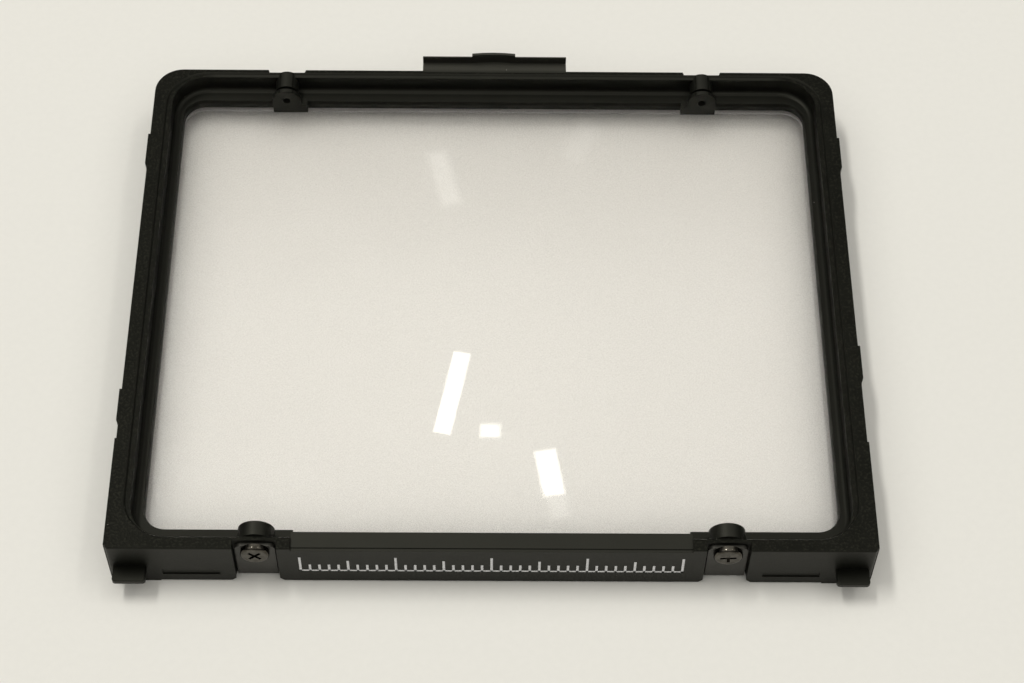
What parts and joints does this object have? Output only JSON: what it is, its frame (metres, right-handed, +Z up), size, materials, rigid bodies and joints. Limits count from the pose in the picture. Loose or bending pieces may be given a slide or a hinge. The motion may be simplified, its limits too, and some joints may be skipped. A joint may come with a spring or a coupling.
{
  "type": "focusing screen unit",
  "caption": "Flat black moulded frame holding a clear cover plate and focusing screens, closed by a screwed metal retaining frame; hooks at the front, finger tab at the rear.",
  "frame": {"origin": "centre of the unit, on the plane of its feet", "axes": "+X to the right along the front face, +Y to the rear towards the finger tab, +Z up out of the light well"},
  "size_m": [0.0804, 0.0682, 0.0084],
  "materials": {
    "moulded_black": "fine-grained black moulded plastic",
    "clear_plate": "clear polished acrylic",
    "fresnel_plate": "clear acrylic with fine concentric grooves",
    "matte_plate": "acrylic with a fine matte face",
    "milky_film": "milky polyester film",
    "cushion_foam": "black closed-cell foam",
    "black_sheet": "black-painted sheet steel",
    "screw_steel": "dark nickel plate",
    "white_print": "white pad print"
  },
  "bodies": {
    "root": {"main_frame": "moulded_black", "cover_plate": "clear_plate", "fresnel_screen": "fresnel_plate", "matte_screen": "matte_plate", "spacer_frame": "milky_film", "retaining_frame": "black_sheet", "cushion_strip_front": "cushion_foam", "cushion_strip_rear": "cushion_foam", "cushion_strip_left": "cushion_foam", "cushion_strip_right": "cushion_foam", "front_screw_left": "screw_steel", "front_screw_right": "screw_steel"}
  },
  "joints": []
}
